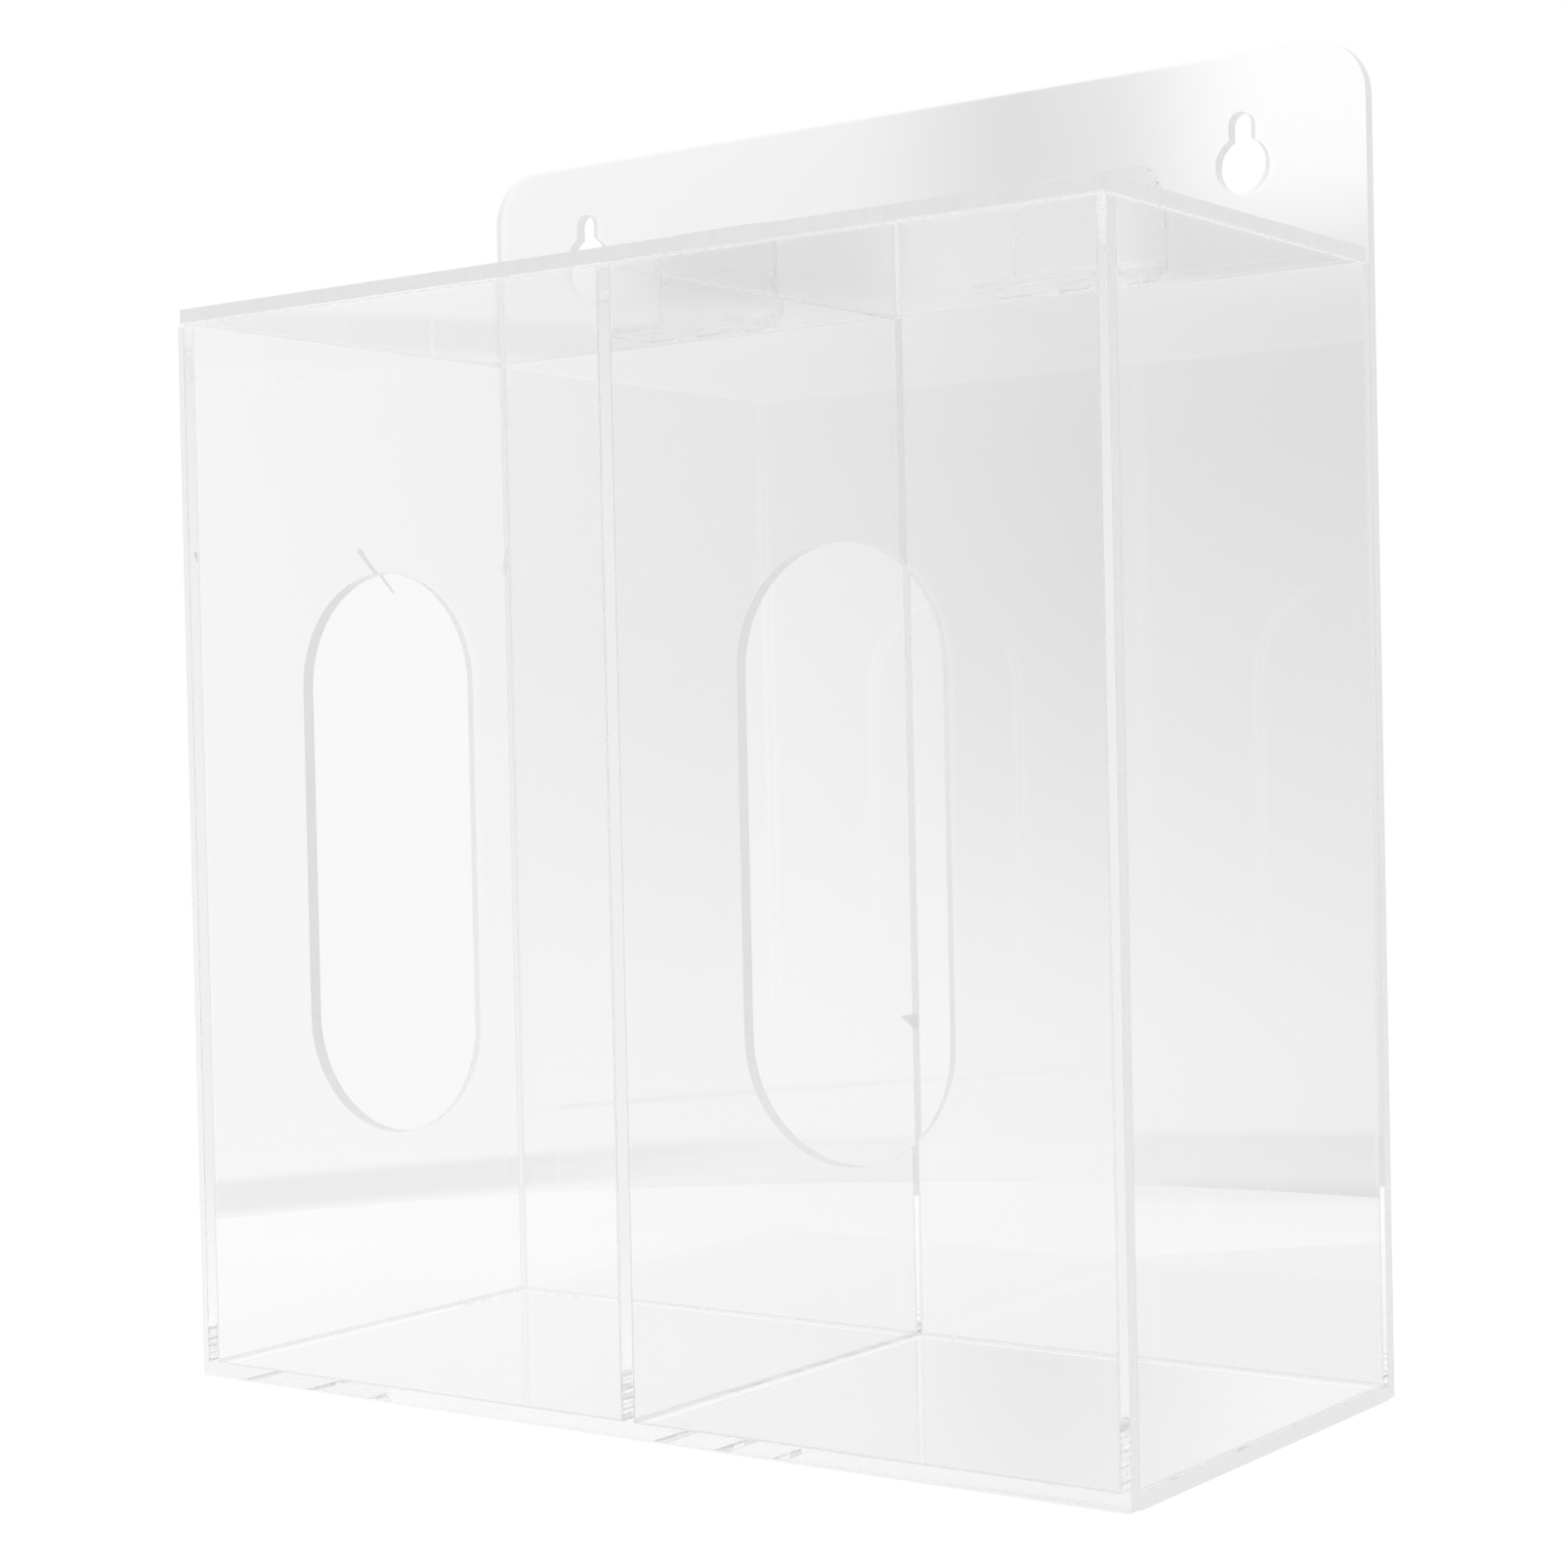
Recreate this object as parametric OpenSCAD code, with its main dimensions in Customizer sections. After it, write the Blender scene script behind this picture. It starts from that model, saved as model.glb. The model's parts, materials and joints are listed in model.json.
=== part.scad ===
// Two-bay glove dispenser made of clear acrylic sheet, for a wall or a bench.
// Flat panels are solvent-welded into an open-topped box with a divider.
// A slot in the front of each bay lets gloves out, and a lid on two butt hinges closes the top.
// The back panel stands above the lid and hangs on two keyholes.
// Origin: centre of the footprint, on the bench. +Z is up and the slotted front faces -Y.

/* [Sheet] */
// Thickness of the acrylic sheet
sheet_t = 3.2; // [2:0.1:5]
// Radius of the flame-polished corners of the front panel and lid
polish_r = 0.8; // [0.2:0.1:2]

/* [Box] */
// Width across the side panels
box_w = 254; // [200:1:320]
// Depth over the front and back panels
box_d = 119.5; // [90:0.5:180]
// Height of the walls under the lid
wall_h = 252; // [200:1:320]
// How far the divider stands to the right of the middle
divider_shift = 2.4; // [-6:0.1:6]

/* [Front slots] */
// Width of a dispensing slot
slot_w = 50.8; // [30:0.1:70]
// Height of a dispensing slot over its round ends
slot_h = 127; // [80:0.5:170]
// Height of the slots' lower ends above the bench
slot_sill = 62.5; // [20:0.5:70]

/* [Back panel] */
// Height of the back panel
back_h = 303; // [290:1:400]
// Radius of the back panel's top corners
back_corner_r = 13; // [3:0.5:16]

/* [Keyholes] */
// Distance between the two keyholes
key_pitch = 192.2; // [170:0.2:200]
// Radius of the round head that passes over a screw
key_head_r = 6.4; // [5:0.1:7]
// Width of the slot that drops onto a screw's shank
key_slot_w = 5.7; // [4:0.1:6]
// Drop from the back panel's top edge to the middle of a head
key_drop = 25.2; // [20:0.1:28]
// Rise from the middle of a head to the middle of the slot's round end
key_rise = 9.2; // [8:0.1:11]

/* [Lid] */
// Gap between the closed lid and the wall tops
lid_seat_gap = 0.4; // [0.3:0.05:0.6]
// How far the lid's ends stop short of the box's sides
lid_end_inset = 0.3; // [0:0.1:1]
// Gap between the lid's rear edge and the back panel
lid_rear_gap = 0.4; // [0.3:0.1:1]
// Bevel on the lid's rear lower edge, which swings past the wall tops
lid_rear_bevel = 1.2; // [1:0.1:1.5]

/* [Hinges] */
// Length of a hinge along its pin
hinge_w = 38; // [30:1:45]
// Distance between the middles of the two hinges
hinge_pitch = 108.2; // [90:0.2:140]
// How far the pair of hinges sits to the right of the middle
hinge_shift = 2.1; // [-6:0.1:6]
// Length of a leaf from the pin's axis to its free edge
leaf_l = 22; // [18:0.5:25]
// Thickness of a leaf's flange
leaf_t = 1.4; // [1.2:0.1:1.8]
// Length of a leaf's thicker root from the pin's axis
root_l = 13.5; // [10:0.5:15]
// Thickness of a leaf's root
root_t = 2.2; // [2:0.1:2.3]
// Radius of a leaf's free corners
leaf_corner_r = 5.5; // [1:0.5:6]
// Number of knuckles along the barrel, shared by the two leaves
knuckle_n = 5; // [3:2:7]
// Outer radius of a knuckle
knuckle_r = 2.7; // [2.5:0.1:3]
// Gap between neighbouring knuckles
knuckle_gap = 0.3; // [0.2:0.1:0.5]
// Radius of the hinge pin
pin_r = 1.2; // [0.8:0.1:1.5]
// How far the pin's ends stop short of the barrel's ends
pin_recess = 0.5; // [0:0.1:2]

/* [Hidden] */
$fn = 96;
// Running clearance between the pin and its bores
pin_clear = 0.05;
// Running clearance between a knuckle and what it turns past
knuckle_clear = 0.3;
// Overlap that makes a cut run past both faces
cut_over = 1;

// Faces of the box
front_y = -box_d / 2;
back_y = box_d / 2;
inner_front_y = front_y + sheet_t;
inner_back_y = back_y - sheet_t;
inner_d = inner_back_y - inner_front_y;
inner_h = wall_h - sheet_t;
side_x = box_w / 2;

// Middle of each bay as set out on the front panel, and middle height of the slots
bay_x = (box_w - sheet_t) / 4;
slot_z = slot_sill + slot_h / 2;

// Lid
lid_z = wall_h + lid_seat_gap;
lid_top_z = lid_z + sheet_t;
lid_w = box_w - 2 * lid_end_inset;
lid_d = inner_back_y - lid_rear_gap - front_y;

// Hinge axis: one stand-off above the lid and the same in front of the back panel
standoff = knuckle_r + knuckle_clear;
axis_y = inner_back_y - standoff;
axis_z = lid_top_z + standoff;
knuckle_pitch = hinge_w / knuckle_n;
bore_r = pin_r + pin_clear;

// ---- Shapes that repeat ----

// Rectangle from (0, 0) to (w, h) whose lower corners have radius r_low and upper corners r_top
module panel_outline(w, h, r_low, r_top) {
  difference() {
    square([w, h]);
    for (side = [0, 1], level = [0, 1]) {
      r = level == 0 ? r_low : r_top;
      translate([side * w, level * h]) mirror([side, 0]) mirror([0, level]) corner_waste(r);
    }
  }
}

// What rounding a corner at (0, 0) with radius r takes away
module corner_waste(r) {
  difference() {
    translate([-cut_over, -cut_over]) square(r + cut_over);
    translate([r, r]) circle(r);
  }
}

// Stands a flat outline up in the XZ plane, between y and y + sheet_t
module upright(y) {
  translate([0, y + sheet_t, 0]) rotate([90, 0, 0]) linear_extrude(sheet_t) children();
}

// A plain wall between the front and back panels, standing on the bottom panel, centred on x
module cross_wall(x) {
  translate([x - sheet_t / 2, inner_front_y, sheet_t]) cube([sheet_t, inner_d, inner_h]);
}

// Vertical slot with round ends, centred on (0, 0)
module slot_outline(w, h) {
  straight = h - w;
  square([w, straight], center = true);
  for (end = [-1, 1]) translate([0, end * straight / 2]) circle(w / 2);
}

// Keyhole: a round head at (0, 0) that a screw passes through, and a slot above it for the shank
module keyhole_outline() {
  circle(key_head_r);
  translate([-key_slot_w / 2, 0]) square([key_slot_w, key_rise]);
  translate([0, key_rise]) circle(key_slot_w / 2);
}

// ---- Box panels ----

module front_panel() {
  color([0.93, 0.95, 0.95, 0.45]) upright(front_y) difference() {
    translate([-side_x, 0]) panel_outline(box_w, wall_h, polish_r, polish_r);
    for (side = [-1, 1]) translate([side * bay_x, slot_z]) slot_outline(slot_w, slot_h);
  }
}

module back_panel() {
  color([0.92, 0.94, 0.94, 0.45]) upright(inner_back_y) difference() {
    translate([-side_x, 0]) panel_outline(box_w, back_h, polish_r, back_corner_r);
    for (side = [-1, 1]) translate([side * key_pitch / 2, back_h - key_drop]) keyhole_outline();
  }
}

module left_panel() {
  color([0.90, 0.93, 0.93, 0.45]) cross_wall(-side_x + sheet_t / 2);
}

module right_panel() {
  color([0.90, 0.93, 0.93, 0.45]) cross_wall(side_x - sheet_t / 2);
}

module divider() {
  color([0.90, 0.93, 0.93, 0.45]) cross_wall(divider_shift);
}

module bottom_panel() {
  color([0.91, 0.93, 0.93, 0.45]) translate([-side_x, inner_front_y, 0]) cube([box_w, inner_d, sheet_t]);
}

// ---- Lid ----

module lid() {
  color([0.92, 0.94, 0.94, 0.45]) difference() {
    translate([-lid_w / 2, front_y, lid_z]) linear_extrude(sheet_t) panel_outline(lid_w, lid_d, polish_r, 0);
    // Bevel along the rear lower edge
    translate([0, front_y + lid_d, lid_z]) rotate([45, 0, 0])
      cube([lid_w + 2 * cut_over, lid_rear_bevel * sqrt(2), lid_rear_bevel * sqrt(2)], center = true);
  }
}

// ---- Hinges ----
// A leaf is drawn with the pin's axis along X at the origin and the leaf lying towards +Y.
// Its mounting face is one stand-off below the axis.

// Start and end of knuckle i along the pin
function knuckle_x0(i) = -hinge_w / 2 + i * knuckle_pitch + (i > 0 ? knuckle_gap / 2 : 0);
function knuckle_x1(i) = -hinge_w / 2 + (i + 1) * knuckle_pitch - (i < knuckle_n - 1 ? knuckle_gap / 2 : 0);

// Round bar along X from x0 to x1
module x_bar(x0, x1, r) {
  translate([x0, 0, 0]) rotate([0, 90, 0]) cylinder(r = r, h = x1 - x0);
}

// One layer of a leaf, from where it clears the other leaf's knuckles to its free edge
module leaf_layer(length, thickness) {
  translate([-hinge_w / 2, standoff, -standoff])
    linear_extrude(thickness) panel_outline(hinge_w, length - standoff, 0, leaf_corner_r);
}

// A leaf with every second knuckle, the first of them number `first`
module leaf(first) {
  difference() {
    union() {
      leaf_layer(leaf_l, leaf_t);
      leaf_layer(root_l, root_t);
      for (i = [first : 2 : knuckle_n - 1]) {
        x_bar(knuckle_x0(i), knuckle_x1(i), knuckle_r);
        translate([knuckle_x0(i), 0, -standoff]) cube([knuckle_x1(i) - knuckle_x0(i), standoff, root_t]);
      }
    }
    x_bar(-hinge_w / 2 - cut_over, hinge_w / 2 + cut_over, bore_r);
  }
}

// Puts a hinge part on the axis of the hinge on one side of the box
module at_hinge(side) {
  translate([hinge_shift + side * hinge_pitch / 2, axis_y, axis_z]) children();
}

// The leaf that stands on the back panel carries the outer knuckles
module back_leaf(side) {
  color([0.86, 0.90, 0.92, 0.6]) at_hinge(side) rotate([90, 0, 0]) leaf(0);
}

// The leaf that lies on the lid carries the knuckles between them
module lid_leaf(side) {
  color([0.84, 0.88, 0.92, 0.6]) at_hinge(side) rotate([0, 0, 180]) leaf(1);
}

module hinge_pin(side) {
  half = hinge_w / 2 - pin_recess;
  color([0.80, 0.84, 0.88, 0.8]) at_hinge(side) x_bar(-half, half, pin_r);
}

front_panel();
back_panel();
left_panel();
right_panel();
divider();
bottom_panel();
lid();
back_leaf(-1);  // hinge_left_back_leaf
lid_leaf(-1);  // hinge_left_lid_leaf
hinge_pin(-1);  // hinge_left_pin
back_leaf(1);  // hinge_right_back_leaf
lid_leaf(1);  // hinge_right_lid_leaf
hinge_pin(1);  // hinge_right_pin
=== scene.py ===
"""Dresses the clear acrylic glove dispenser and lights it in a pale studio."""

import json

import bpy
import numpy as np
from mathutils import Matrix, Vector


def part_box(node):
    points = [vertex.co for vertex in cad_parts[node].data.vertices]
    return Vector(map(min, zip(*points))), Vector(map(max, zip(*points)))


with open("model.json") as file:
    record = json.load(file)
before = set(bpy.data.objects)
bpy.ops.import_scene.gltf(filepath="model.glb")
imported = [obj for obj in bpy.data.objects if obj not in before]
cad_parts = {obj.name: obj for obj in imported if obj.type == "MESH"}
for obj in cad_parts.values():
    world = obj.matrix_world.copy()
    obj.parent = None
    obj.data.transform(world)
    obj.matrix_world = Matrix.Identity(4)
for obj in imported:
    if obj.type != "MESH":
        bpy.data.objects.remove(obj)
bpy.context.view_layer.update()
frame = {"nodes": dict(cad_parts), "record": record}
NODES = frame["nodes"]
HINGE_AXIS = frame["record"]["behaviour"]["joints"][0]["pos_m"]

MM = 0.001
WHITE = (1.0, 1.0, 1.0, 1.0)

# ---- Camera, in the part's own frame. Another program's fit gave its place, turn and lens ----
CAMERA_AT = (409.62 * MM, -558.75 * MM, 147.61 * MM)
CAMERA_RIGHT = (0.810338, 0.585570, -0.021447)
CAMERA_UP = (0.006217, 0.028007, 0.999588)
LENS_MM = 68.857
SENSOR_MM = 36.0
SHIFT_Y = 0.0144
CLIP_START = 10 * MM

# ---- Acrylic ----
ACRYLIC_IOR = 1.49
# Each panel's thin axis
SHEETS = {
    "front_panel": 1,
    "back_panel": 1,
    "left_panel": 0,
    "right_panel": 0,
    "divider": 0,
    "bottom_panel": 2,
    "lid": 2,
}
# Pairs of pieces whose touching faces are one clear joint, and the axis across it
WELDS = [
    ("front_panel", "left_panel", 1),
    ("front_panel", "right_panel", 1),
    ("front_panel", "divider", 1),
    ("front_panel", "bottom_panel", 1),
    ("back_panel", "left_panel", 1),
    ("back_panel", "right_panel", 1),
    ("back_panel", "divider", 1),
    ("back_panel", "bottom_panel", 1),
    ("bottom_panel", "left_panel", 2),
    ("bottom_panel", "right_panel", 2),
    ("bottom_panel", "divider", 2),
    ("back_panel", "hinge_left_back_leaf", 1),
    ("back_panel", "hinge_right_back_leaf", 1),
    ("lid", "hinge_left_lid_leaf", 2),
    ("lid", "hinge_right_lid_leaf", 2),
]
# How far to either side of a joint's plane a surface still counts as joined
WELD_REACH = 0.05 * MM
LEAF_CORNER_R = 5.5 * MM
# How far dried cement reaches out of a joint along its seam, and how dull it is
SEAM_R = 0.45 * MM
SEAM_DULNESS = 0.45
# Spacing of the places where a solvent joint may hold an air bubble, the share of them that do,
# and the largest bubble's radius
BUBBLE_PITCH = 3.5 * MM
BUBBLE_SHARE = 0.12
BUBBLE_R = 0.45 * MM
# Dried runs of solvent and smudges on a face: the piece, the two ends of a stroke and its radius
# at each, in mm, and how dull it is
MARKS = [
    ("left_panel", (-123.8, -1.2, 200.1), (-123.8, 9.2, 190.2), 0.8, 0.35, 0.9),
    ("left_panel", (-123.8, 55.4, 202.5), (-123.8, 54.4, 197.2), 0.5, 1.2, 0.6),
    ("left_panel", (-123.8, -14.0, 247.0), (-123.8, -4.0, 247.2), 2.6, 2.0, 0.12),
    ("left_panel", (-123.8, -28.0, 242.2), (-123.8, -20.0, 243.2), 1.6, 1.2, 0.12),
    ("divider", (4.0, 49.5, 81.8), (4.0, 55.6, 80.0), 0.3, 2.0, 0.9),
]
# Part of its radius over which a mark fades, to either side of its rim
MARK_SOFT = 0.3
# Grains of each pattern to the metre, across it and along it. One grain is about 3 by 80 mm for
# hairlines, 0.7 by 25 mm for a saw's bars, 2 mm for orange peel and 0.25 by 50 mm for a die's lines.
HAIRS_ACROSS, HAIRS_ALONG = 0.35 / MM, 0.012 / MM
BARS_ACROSS, BARS_ALONG = 1.4 / MM, 0.04 / MM
PEEL = 0.5 / MM
DIE_LINES_ACROSS, DIE_LINES_ALONG = 4 / MM, 0.02 / MM
# Light that has turned this often inside the sheets is let out, as it would be at some edge or
# scratch, and may still turn a few times on its way to the room
LAST_TURN = 11
SPARE_TURNS = 5


def linear(hex_colour):
    """An sRGB hex colour as linear red, green and blue, with alpha 1."""
    channels = [int(hex_colour[i : i + 2], 16) / 255 for i in (0, 2, 4)]
    return [c / 12.92 if c <= 0.04045 else ((c + 0.055) / 1.055) ** 2.4 for c in channels] + [1.0]


def add(tree, kind, inputs=(), out=0, **settings):
    """Adds a node and returns its output with the number or name out, or the node if out is None.

    inputs fills its sockets, in their order or by number or name, each with a value or with the
    output that is linked to it. settings are the node's properties.
    """
    node = tree.nodes.new("ShaderNode" + kind)
    for name, value in settings.items():
        setattr(node, name, value)
    for key, value in inputs.items() if isinstance(inputs, dict) else enumerate(inputs):
        if isinstance(value, bpy.types.NodeSocket):
            tree.links.new(value, node.inputs[key])
        else:
            node.inputs[key].default_value = value
    return node if out is None else node.outputs[out]


def largest(tree, values):
    """The largest of several values."""
    result = values[0]
    for value in values[1:]:
        result = add(tree, "Math", (result, value), operation="MAXIMUM")
    return result


def new_material(name):
    """An empty node material and its tree."""
    material = bpy.data.materials.new(name)
    material.use_nodes = True
    material.node_tree.nodes.clear()
    return material, material.node_tree


def stroke(tree, point, start, end, r_start, r_end):
    """1 inside a stroke with round ends and a soft rim that widens or narrows from start to end.

    With t the share of the way from start to end that is nearest to a point, held from 0 to 1, the
    stroke reaches as far from its middle line as its radius at t. Places and radii are in mm.
    """
    start, end = Vector(start) * MM, Vector(end) * MM
    along = end - start
    out = add(tree, "VectorMath", (point, tuple(start)), operation="SUBTRACT")
    per_length = tuple(along / along.length_squared)
    share = add(tree, "VectorMath", (out, per_length), "Value", operation="DOT_PRODUCT")
    t = add(tree, "Clamp", (share,))
    nearest = add(tree, "VectorMath", {0: tuple(along), "Scale": t}, operation="SCALE")
    past = add(tree, "VectorMath", (out, nearest), operation="SUBTRACT")
    away = add(tree, "VectorMath", (past,), "Value", operation="LENGTH")
    radius = add(tree, "Math", (t, (r_end - r_start) * MM, r_start * MM), operation="MULTIPLY_ADD")
    ratio = add(tree, "Math", (away, radius), operation="DIVIDE")
    rim = {"From Min": 1.0 + MARK_SOFT, "From Max": 1.0 - MARK_SOFT}
    return add(tree, "MapRange", {"Value": ratio, **rim})


def joint(tree, point, weld):
    """1 on the rectangle where two pieces are joined, and 1 there and along its seam.

    Its corners are rounded where a hinge leaf's are.

    With d the distance from the middle along each axis, h the half size and r the corner radius,
    a point is inside where |max(d - (h - r), 0)| < r. The axis across the joint is stretched, so
    that its half size, WELD_REACH, is r too.
    """
    first, second, across = weld
    (low_a, high_a), (low_b, high_b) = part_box(first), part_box(second)
    low = [max(a, b) for a, b in zip(low_a, low_b)]
    high = [min(a, b) for a, b in zip(high_a, high_b)]
    radius = WELD_REACH
    if second.endswith("back_leaf"):
        low[2], radius = HINGE_AXIS[2], LEAF_CORNER_R
    if second.endswith("lid_leaf"):
        high[1], radius = HINGE_AXIS[1], LEAF_CORNER_R
    middle = [(a + b) / 2 for a, b in zip(low, high)]
    inner = [(b - a) / 2 - radius for a, b in zip(low, high)]
    inner[across] = 0.0
    stretch = [1.0, 1.0, 1.0]
    stretch[across] = radius / WELD_REACH
    off = add(tree, "VectorMath", (point, middle), operation="SUBTRACT")
    away = add(tree, "VectorMath", (off,), operation="ABSOLUTE")
    away = add(tree, "VectorMath", (away, stretch), operation="MULTIPLY")
    past = add(tree, "VectorMath", (away, inner), operation="SUBTRACT")
    past = add(tree, "VectorMath", (past, (0.0, 0.0, 0.0)), operation="MAXIMUM")
    past = add(tree, "VectorMath", (past,), "Value", operation="LENGTH")
    face = add(tree, "Math", (past, radius), operation="LESS_THAN")
    seam = add(tree, "Math", (past, radius + SEAM_R), operation="LESS_THAN")
    return face, seam


def joined(tree, point, node):
    """1 where a piece is joined to another, apart from the joint's air bubbles, and 1 on its seams.

    Both pieces work out the same bubbles, because both read the same place in the part's frame.
    """
    faces, seams = zip(*[joint(tree, point, weld) for weld in WELDS if node in weld])
    face = largest(tree, faces)
    cell = add(tree, "TexVoronoi", {"Vector": point, "Scale": 1 / BUBBLE_PITCH}, None)
    luck = add(tree, "SeparateColor", (cell.outputs["Color"],))
    sizes = {"From Min": 1.0 - BUBBLE_SHARE, "To Min": 0.0, "To Max": BUBBLE_R / BUBBLE_PITCH}
    size = add(tree, "MapRange", {"Value": luck, **sizes})
    whole = add(tree, "Math", (cell.outputs["Distance"], size), operation="GREATER_THAN")
    face = add(tree, "Math", (face, whole), operation="MULTIPLY")
    return face, largest(tree, seams)


def lets_light_out(tree, surface):
    """Ends a clear material: trapped light goes straight out, and shadow rays pass almost whole.

    The shadow rays' slight loss is there because clear plastic shades faintly.
    """
    path = add(tree, "LightPath", out=None)
    late = add(tree, "Math", (path.outputs["Ray Depth"], LAST_TURN), operation="GREATER_THAN")
    open_air = add(tree, "BsdfTransparent")
    surface = add(tree, "MixShader", (late, surface, open_air))
    pale = add(tree, "BsdfTransparent", {"Color": linear("FAFAFA")})
    surface = add(tree, "MixShader", (path.outputs["Is Shadow Ray"], surface, pale))
    add(tree, "OutputMaterial", {"Surface": surface}, None)


def acrylic_sheet(node, thin_axis):
    """Cast acrylic (PMMA) sheet, sawn to size and solvent-welded.

    Its faces are glass-clear, with hairlines from wiping. Its cut edges are matt and pale, with
    the fine bars that a saw leaves across the thickness.
    """
    material, tree = new_material("clear_cast_acrylic_" + node)
    place = add(tree, "TexCoord", out=None)
    point, normal = place.outputs["Object"], place.outputs["Normal"]

    # The hairlines are drawn much wider than real ones, which are too fine to show. They run up
    # the walls, and from left to right on the lid and the bottom panel.
    hairs_at = [HAIRS_ACROSS] * 3
    hairs_at[2 if thin_axis != 2 else 0] = HAIRS_ALONG
    drawn_out = add(tree, "VectorMath", (point, hairs_at), operation="MULTIPLY")
    hair = add(tree, "TexNoise", {"Vector": drawn_out, "Scale": 1.0, "Detail": 1.0})
    hazes = {"From Min": 0.7, "From Max": 0.8, "To Min": 0.0, "To Max": 0.12}
    face = add(
        tree,
        "BsdfPrincipled",
        {
            "Base Color": linear("FEFEFE"),
            "Roughness": add(tree, "MapRange", {"Value": hair, **hazes}),
            "IOR": ACRYLIC_IOR,
            "Transmission Weight": 1.0,
        },
    )
    # Dried cement along the seams, and the marks
    welded, seam = joined(tree, point, node)
    cement = [add(tree, "Math", (seam, SEAM_DULNESS), operation="MULTIPLY")]
    for marked, start, end, r_start, r_end, dulness in MARKS:
        if node == marked:
            mark = stroke(tree, point, start, end, r_start, r_end)
            cement.append(add(tree, "Math", (mark, dulness), operation="MULTIPLY"))
    dull = add(
        tree,
        "BsdfPrincipled",
        {
            "Base Color": linear("DBDBDB"),
            "Roughness": 0.45,
            "IOR": ACRYLIC_IOR,
            "Transmission Weight": 0.7,
        },
    )
    face = add(tree, "MixShader", (largest(tree, cement), face, dull))

    # Bars across the thickness
    bars_at = [BARS_ACROSS] * 3
    bars_at[thin_axis] = BARS_ALONG
    drawn_out = add(tree, "VectorMath", (point, bars_at), operation="MULTIPLY")
    bars = add(tree, "TexNoise", {"Vector": drawn_out, "Scale": 1.0, "Detail": 2.0})
    pales = {6: linear("EFEFEF"), 7: linear("F7F7F7")}
    edge_colour = add(tree, "Mix", {0: bars, **pales}, 2, data_type="RGBA")
    ridges = add(tree, "Bump", {"Height": bars, "Strength": 0.1, "Distance": 0.1 * MM})
    cut = add(
        tree,
        "BsdfPrincipled",
        {
            "Base Color": edge_colour,
            "Roughness": 0.4,
            "IOR": ACRYLIC_IOR,
            "Transmission Weight": 0.15,
            "Normal": ridges,
        },
    )
    # From inside the sheet a matt edge is a bright window. Light that leaves it after one of the
    # last two turns is dimmed, because it showed as a bright notch at the top of the front joints.
    turns = add(tree, "LightPath", out="Ray Depth")
    nearly_late = add(tree, "Math", (turns, LAST_TURN - 2), operation="GREATER_THAN")
    glows = {6: linear("FDFDFD"), 7: linear("E3E3E3")}
    glow = add(tree, "Mix", {0: nearly_late, **glows}, 2, data_type="RGBA")
    window = add(tree, "BsdfTranslucent", {"Color": glow})
    inside = add(tree, "NewGeometry", out="Backfacing")
    cut = add(tree, "MixShader", (inside, cut, window))
    facing = add(tree, "SeparateXYZ", (normal,), thin_axis)
    across = add(tree, "Math", (facing,), operation="ABSOLUTE")
    is_edge = add(tree, "Math", (across, 0.5), operation="LESS_THAN")
    surface = add(tree, "MixShader", (is_edge, face, cut))
    see_through = add(tree, "BsdfTransparent")
    surface = add(tree, "MixShader", (welded, surface, see_through))
    lets_light_out(tree, surface)
    return material


def moulded_leaf(node):
    """Injection-moulded clear plastic: softly polished, with the faint orange peel of its mould."""
    material, tree = new_material("clear_moulded_" + node)
    point = add(tree, "TexCoord", out="Object")
    peel = add(tree, "TexNoise", {"Vector": point, "Scale": PEEL, "Detail": 1.0})
    ripple = add(tree, "Bump", {"Height": peel, "Strength": 0.06, "Distance": 0.2 * MM})
    glosses = {"From Min": 0.3, "From Max": 0.7, "To Min": 0.05, "To Max": 0.15}
    body = add(
        tree,
        "BsdfPrincipled",
        {
            "Base Color": linear("F3F3F3"),
            "Roughness": add(tree, "MapRange", {"Value": peel, **glosses}),
            "IOR": ACRYLIC_IOR,
            "Transmission Weight": 0.94,
            "Normal": ripple,
        },
    )
    welded, _ = joined(tree, point, node)
    see_through = add(tree, "BsdfTransparent")
    surface = add(tree, "MixShader", (welded, body, see_through))
    lets_light_out(tree, surface)
    return material


def drawn_rod():
    """Extruded clear acrylic rod, with the fine lines that the die leaves along it."""
    material, tree = new_material("clear_extruded_pin")
    point = add(tree, "TexCoord", out="Object")
    lines_at = (DIE_LINES_ALONG, DIE_LINES_ACROSS, DIE_LINES_ACROSS)
    drawn_out = add(tree, "VectorMath", (point, lines_at), operation="MULTIPLY")
    lines = add(tree, "TexNoise", {"Vector": drawn_out, "Scale": 1.0, "Detail": 1.0})
    ridges = add(tree, "Bump", {"Height": lines, "Strength": 0.2, "Distance": 0.05 * MM})
    body = add(
        tree,
        "BsdfPrincipled",
        {
            "Base Color": linear("F9F9F9"),
            "Roughness": 0.1,
            "IOR": ACRYLIC_IOR,
            "Transmission Weight": 0.9,
            "Normal": ridges,
        },
    )
    lets_light_out(tree, body)
    return material


def dress():
    """Gives every CAD node its material."""
    rod = drawn_rod()
    for name, node in NODES.items():
        if name in SHEETS:
            material = acrylic_sheet(name, SHEETS[name])
        elif name.endswith("leaf"):
            material = moulded_leaf(name)
        else:
            material = rod
        node.data.materials.clear()
        node.data.materials.append(material)


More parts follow.
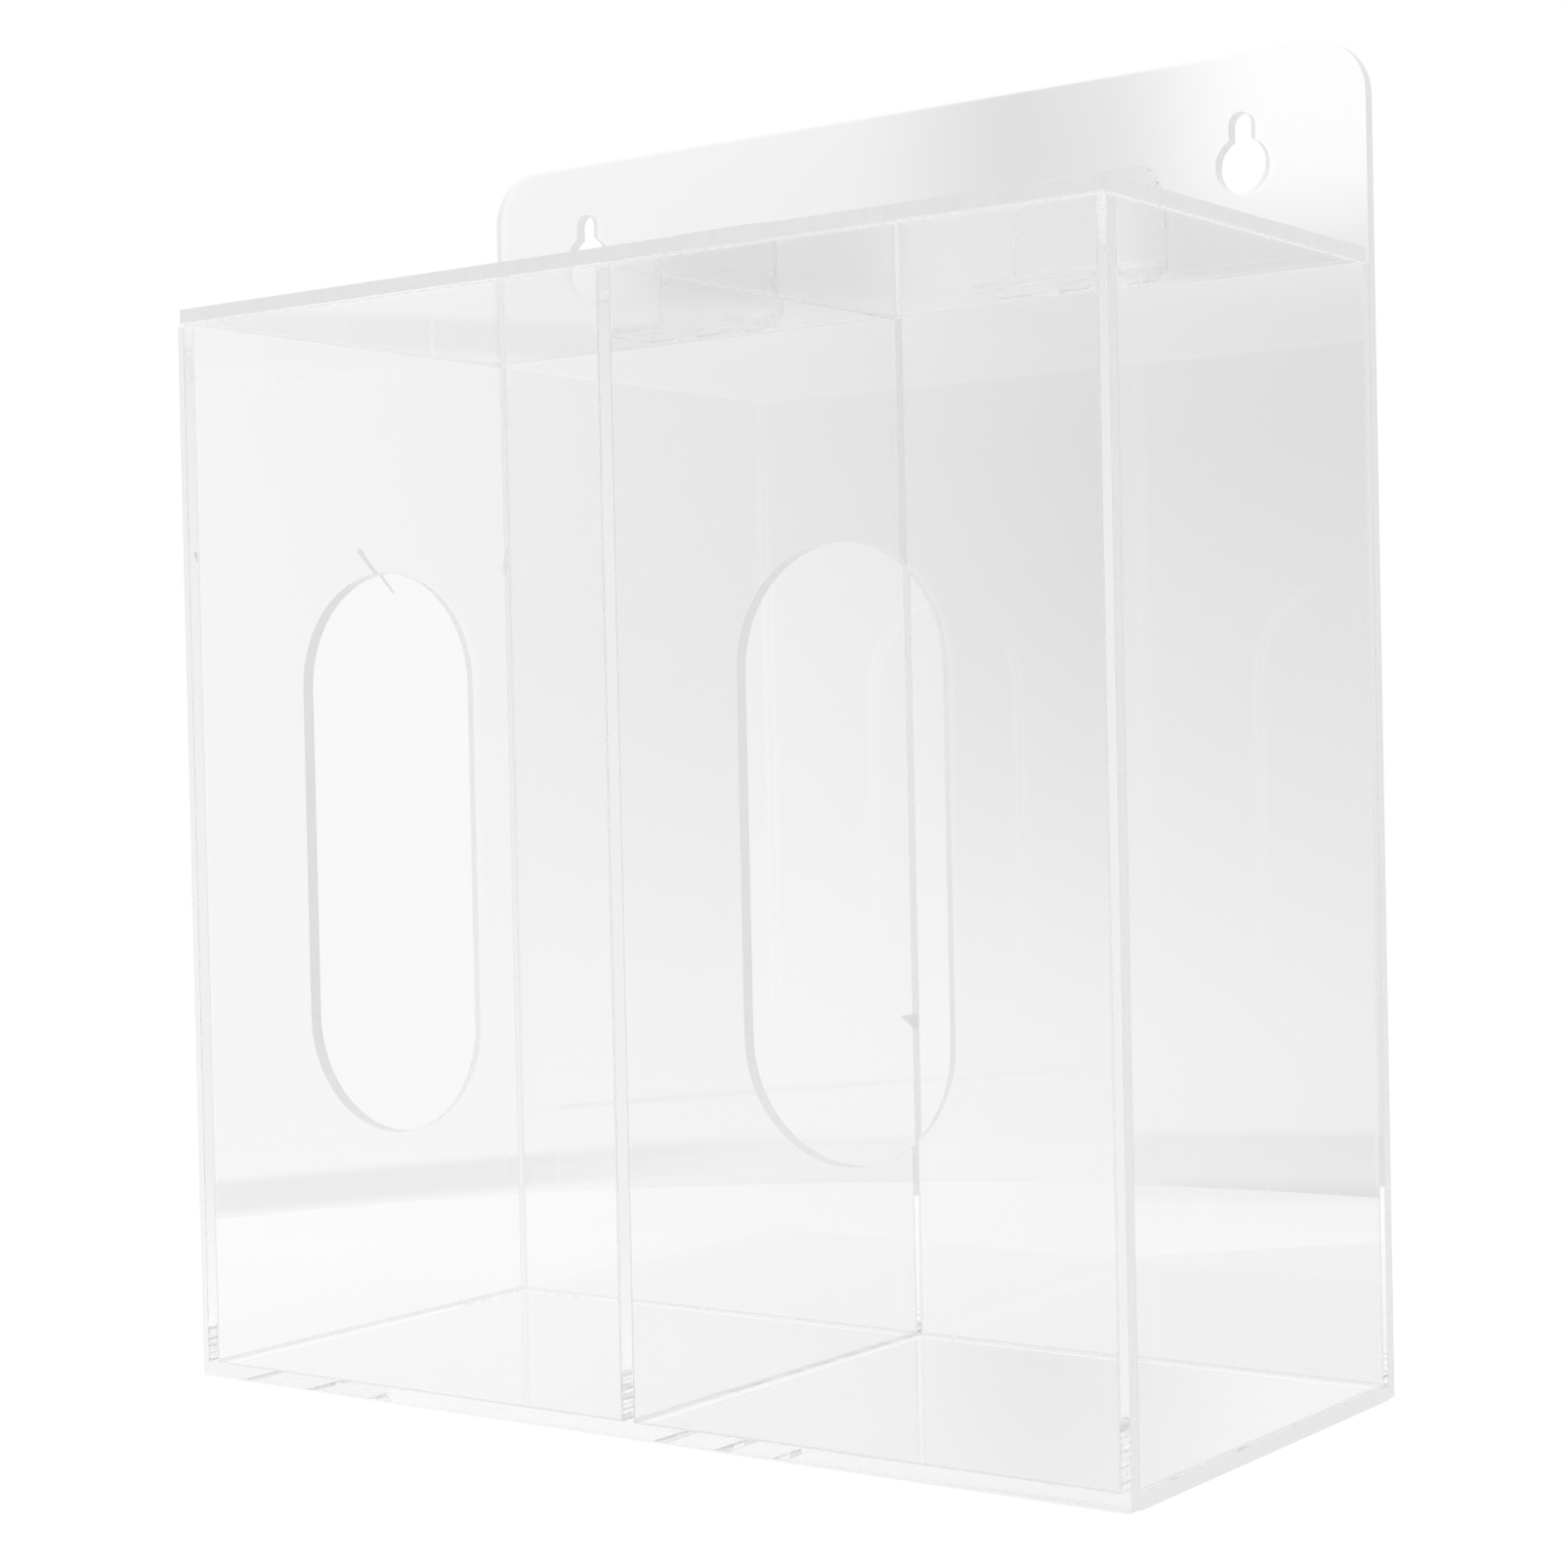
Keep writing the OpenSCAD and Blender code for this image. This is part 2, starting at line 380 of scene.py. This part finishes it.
def build_camera():
    """A camera at the viewing angle."""
    data = bpy.data.cameras.new("camera")
    data.sensor_width = SENSOR_MM
    data.lens = LENS_MM
    data.shift_y = SHIFT_Y
    data.clip_start = CLIP_START
    camera = bpy.data.objects.new("camera", data)
    right, up = Vector(CAMERA_RIGHT), Vector(CAMERA_UP)
    back = right.cross(up)
    turn = Matrix((right, up, back)).transposed().to_4x4()
    camera.matrix_world = Matrix.Translation(CAMERA_AT) @ turn
    bpy.context.scene.collection.objects.link(camera)
    bpy.context.scene.camera = camera


# ---- Studio ----
# How bright the room is behind its cards, which the fit named below gave, and what the camera sees
# past the object
ROOM_LEVEL = 0.78
CAMERA_WHITE = 1.0
# Soft cards round the object: azimuth from +Y towards -X, elevation, half width, half height, the
# softness of their sides and of their upper and lower edges, all in degrees, the rise of their
# middle line per degree of azimuth, and how bright they look. Ten rows are the rounded output of
# a least-squares fit, made by another program, to the tones wanted in the sheets. They stand for
# no known things in a room. The other six rows were set one by one.
CARDS = [
    # Light from above, for the cut edges
    (0, 75, 200, 38, 1, 5, 0, 1.15),
    # Fitted: behind on the left
    (44, 3, 20.4, 33.5, 14, 14, 0, 0.96),
    (22, 5.7, 9.5, 5.5, 8.7, 8.7, 0, 0.74),
    (19.8, 12.6, 8.3, 3.2, 1.7, 1.7, 0, 1.04),
    (31.2, 11.7, 1.4, 2.3, 2, 2, 0, 0.77),
    (24, -15.7, 16.4, 4.3, 6.6, 6.6, 0, 0.79),
    # Three patches that the lid mirrors
    (36, -10.4, 2.4, 1.9, 1.2, 0.4, 0, 0.68),
    (31.4, -10.4, 1.5, 1.9, 1, 0.4, 0, 0.92),
    (26.6, -10.4, 2.2, 1.9, 0.8, 0.4, 0, 0.66),
    # Fitted: in front on the left
    (149, 5.2, 11.8, 7.5, 5.7, 5.7, 0, 0.19),
    (142.7, -15, 35.7, 5.5, 3, 3, 0, 1.21),
    # Fitted: behind on the right, with a dark line and a bright band under it
    (-42.4, -1.9, 36.2, 7.5, 3.5, 3.5, 0, 0.88),
    (-35, -8.05, 31.4, 0.63, 0.14, 0.14, 0, 0.58),
    (-33.5, -15, 21.5, 6, 1.4, 1.4, 0, 1.13),
    # Two thin slanting bands low on the left
    (43.5, -8, 5, 0.3, 3, 0.12, -0.048, 0.85),
    (35.2, -6.44, 5.3, 0.05, 0.6, 0.03, -0.051, 0.91),
]


def build_world():
    """White where the camera looks past the object, and the room with its cards for all else."""
    world = bpy.data.worlds.new("studio")
    world.use_nodes = True
    tree = world.node_tree
    tree.nodes.clear()
    way = add(tree, "TexCoord", out="Generated")
    x, y, z = add(tree, "SeparateXYZ", (way,), None).outputs
    left = add(tree, "Math", (x, -1.0), operation="MULTIPLY")
    azimuth = add(tree, "Math", (left, y), operation="ARCTAN2")
    azimuth = add(tree, "Math", (azimuth,), operation="DEGREES")
    elevation = add(tree, "Math", (z,), operation="ARCSINE")
    elevation = add(tree, "Math", (elevation,), operation="DEGREES")
    level = ROOM_LEVEL
    for turn, height, half_width, half_height, soft_sides, soft_edges, tilt, brightness in CARDS:
        off = add(tree, "Math", (azimuth, turn), operation="SUBTRACT")
        off = add(tree, "Math", (off, 180.0, -180.0), operation="WRAP")
        away = add(tree, "Math", (off,), operation="ABSOLUTE")
        middle = add(tree, "Math", (off, tilt, height), operation="MULTIPLY_ADD")
        rise = add(tree, "Math", (elevation, middle), operation="SUBTRACT")
        rise = add(tree, "Math", (rise,), operation="ABSOLUTE")
        masks = [
            add(
                tree,
                "MapRange",
                {"Value": value, "From Min": half + soft, "From Max": half - soft},
                interpolation_type="SMOOTHSTEP",
            )
            for value, half, soft in (
                (away, half_width, soft_sides),
                (rise, half_height, soft_edges),
            )
        ]
        mask = add(tree, "Math", masks, operation="MULTIPLY")
        level = add(tree, "Mix", {0: mask, 2: level, 3: brightness})
    path = add(tree, "LightPath", out=None)
    room = add(tree, "Background", {"Color": WHITE, "Strength": level})
    white = add(tree, "Background", {"Color": WHITE, "Strength": CAMERA_WHITE})
    surface = add(tree, "MixShader", (path.outputs["Is Camera Ray"], room, white))
    add(tree, "OutputWorld", {"Surface": surface}, None)
    bpy.context.scene.world = world


# The table top is a disc whose far edge lies in the cards' dark line
FLOOR_R = 330 * MM
FLOOR_SIDES = 128
FLOOR_DROP = 0.3 * MM
# Its glow in the acrylic: at the middle, its rise per metre along X and along Y, and its limits.
# A fit gave the first two a start, and they were then set one by one.
FLOOR_GLOW = 0.82
FLOOR_GLOW_SLOPE = (-0.25, -0.1, 0.0)
FLOOR_GLOW_RANGE = (0.6, 1.1)
# Its glow to the camera, and the whiteness of the paper that keeps the shadow
FLOOR_CAMERA_GLOW = 0.93
FLOOR_SHADE = 0.12


def build_floor():
    """A pale round table top that mostly glows white and keeps a trace of the object's shadow."""
    turn = np.linspace(0, 2 * np.pi, FLOOR_SIDES, endpoint=False)
    rim = np.column_stack([np.cos(turn), np.sin(turn), np.zeros_like(turn)]) * FLOOR_R
    mesh = bpy.data.meshes.new("floor")
    mesh.from_pydata((rim - (0, 0, FLOOR_DROP)).tolist(), [], [list(range(len(rim)))])
    floor = bpy.data.objects.new("floor", mesh)
    bpy.context.scene.collection.objects.link(floor)
    material, tree = new_material("white_table_top")
    path = add(tree, "LightPath", out=None)
    place = add(tree, "TexCoord", out="Object")
    slope = add(tree, "VectorMath", (place, FLOOR_GLOW_SLOPE), "Value", operation="DOT_PRODUCT")
    glow = add(tree, "Math", (slope, FLOOR_GLOW), operation="ADD")
    low, high = FLOOR_GLOW_RANGE
    glow = add(tree, "Clamp", (glow, low, high))
    glow = add(tree, "Mix", {0: path.outputs["Is Camera Ray"], 2: glow, 3: FLOOR_CAMERA_GLOW})
    emission = add(tree, "Emission", {"Strength": glow})
    paper = add(tree, "BsdfDiffuse", {"Color": (FLOOR_SHADE, FLOOR_SHADE, FLOOR_SHADE, 1)})
    surface = add(tree, "AddShader", (emission, paper))
    add(tree, "OutputMaterial", {"Surface": surface}, None)
    mesh.materials.append(material)


dress()
build_camera()
build_world()
build_floor()
scene = bpy.context.scene
scene.view_settings.view_transform = "Standard"
# Light turns at every face of every sheet that it crosses
scene.cycles.max_bounces = LAST_TURN + SPARE_TURNS
scene.cycles.transmission_bounces = LAST_TURN + SPARE_TURNS
scene.cycles.glossy_bounces = LAST_TURN + SPARE_TURNS
scene.cycles.transparent_max_bounces = 40
